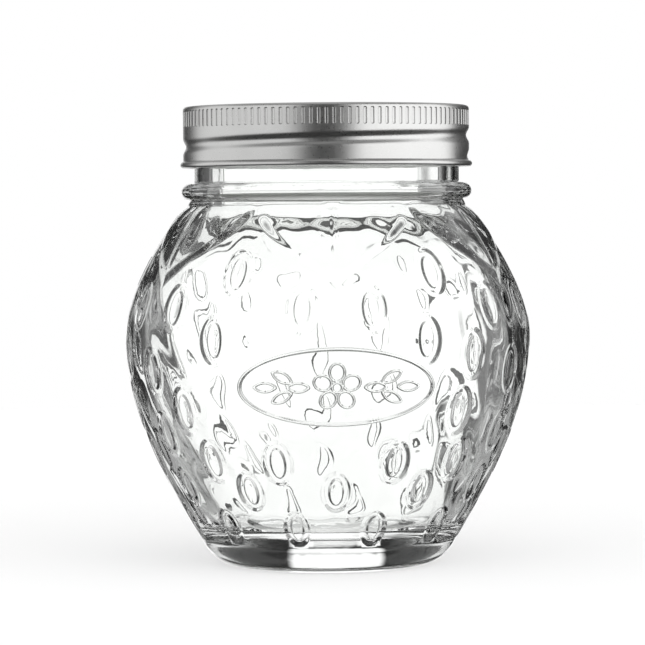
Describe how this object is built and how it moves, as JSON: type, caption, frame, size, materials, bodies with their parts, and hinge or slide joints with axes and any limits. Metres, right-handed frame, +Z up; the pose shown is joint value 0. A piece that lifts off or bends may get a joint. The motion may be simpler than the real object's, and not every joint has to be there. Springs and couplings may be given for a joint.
{
  "type": "preserving jar",
  "caption": "Clear glass preserving jar shaped like a strawberry, with raised leaves and seed dimples, closed by a flat lid disc and a knurled screw band.",
  "frame": {"origin": "centre of the foot, on the surface that the jar stands on", "axes": "+Z up along the jar's axis; -Y towards the front, where the oval frame is; +X to the right of someone who looks at the front"},
  "size_m": [0.1017, 0.1021, 0.1147],
  "materials": {
    "clear_glass": "gloss",
    "tinplate": "satin",
    "lid_tinplate": "satin",
    "seal_compound": "matte"
  },
  "bodies": {
    "root": {"jar": "clear_glass", "lid_disc": "lid_tinplate", "lid_seal": "seal_compound", "screw_band": "tinplate"}
  },
  "joints": []
}
